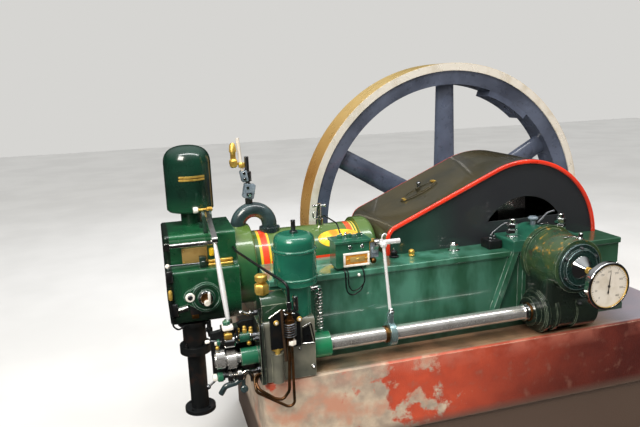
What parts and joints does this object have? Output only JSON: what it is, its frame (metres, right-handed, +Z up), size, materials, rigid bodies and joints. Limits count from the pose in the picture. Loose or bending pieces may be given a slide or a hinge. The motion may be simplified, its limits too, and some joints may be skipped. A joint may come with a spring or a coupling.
{
  "type": "horizontal stationary diesel engine",
  "caption": "Horizontal single-cylinder diesel engine on a concrete plinth, with crank guard, spoked flywheel, side shaft, governor and tachometer.",
  "frame": {"origin": "on the underside of the foundation, below the crank centre line and on the cylinder's centre line", "axes": "+X from the cylinder head to the crank, +Y towards the flywheel, +Z up"},
  "size_m": [2.329, 1.33, 1.622],
  "materials": {
    "concrete": "painted concrete, red with bare grey patches",
    "green": "dark green gloss enamel on cast iron",
    "guard_green": "dark olive green gloss enamel on sheet steel",
    "red": "red gloss enamel",
    "blue_grey": "dark blue-grey paint, turned bright rim",
    "steel": "polished steel",
    "black": "black oiled iron",
    "brass": "polished brass",
    "copper": "tarnished copper pipe",
    "dial": "chromed bezel round a cream dial"
  },
  "bodies": {
    "engine_frame": {"foundation_block": "concrete", "bed": "green", "near_bearing_cap": "green", "far_bearing_cap": "green", "guard_wrapper": "guard_green", "guard_near_plate": "guard_green", "guard_far_plate": "guard_green", "guard_beading": "red", "guard_lid": "guard_green", "cylinder_jacket": "green", "cylinder_head": "green", "timing_case": "green", "case_cover": "green", "shaft_end_cone": "steel", "tachometer": "dial", "tachometer_stem": "green", "governor_case": "green", "governor_cap": "green", "water_bend": "black", "vent_valve": "brass", "air_silencer": "green", "exhaust_neck": "black", "exhaust_downpipe": "black", "lubricator": "green", "ratchet_lever": "steel", "shaft_strap": "steel", "lubricator_rod": "steel", "cam_follower": "steel", "exhaust_follower": "steel", "pushrod": "steel", "rocker_bracket": "green", "inlet_rocker": "steel", "fuel_pump": "brass", "delivery_pipe": "steel", "feed_pipe": "copper", "governor_spring": "steel", "oil_cup": "brass", "check_valve": "brass", "head_stud": "steel"},
    "crankshaft_body": {"crankshaft": "steel", "flywheel": "blue_grey"},
    "side_shaft_body": {"side_shaft": "steel"}
  },
  "joints": [
    {"name": "crank_spin", "type": "hinge", "parent": "engine_frame", "child": "crankshaft_body", "pos_m": [0, 0, 0.822], "axis": [0, 1, 0], "continuous": true},
    {"name": "side_shaft_spin", "type": "hinge", "parent": "engine_frame", "child": "side_shaft_body", "pos_m": [-0.6, -0.45, 0.615], "axis": [1, 0, 0], "continuous": true}
  ],
  "couplings": [
    {"joint": "side_shaft_spin", "follows": "crank_spin", "ratio": 0.5}
  ]
}
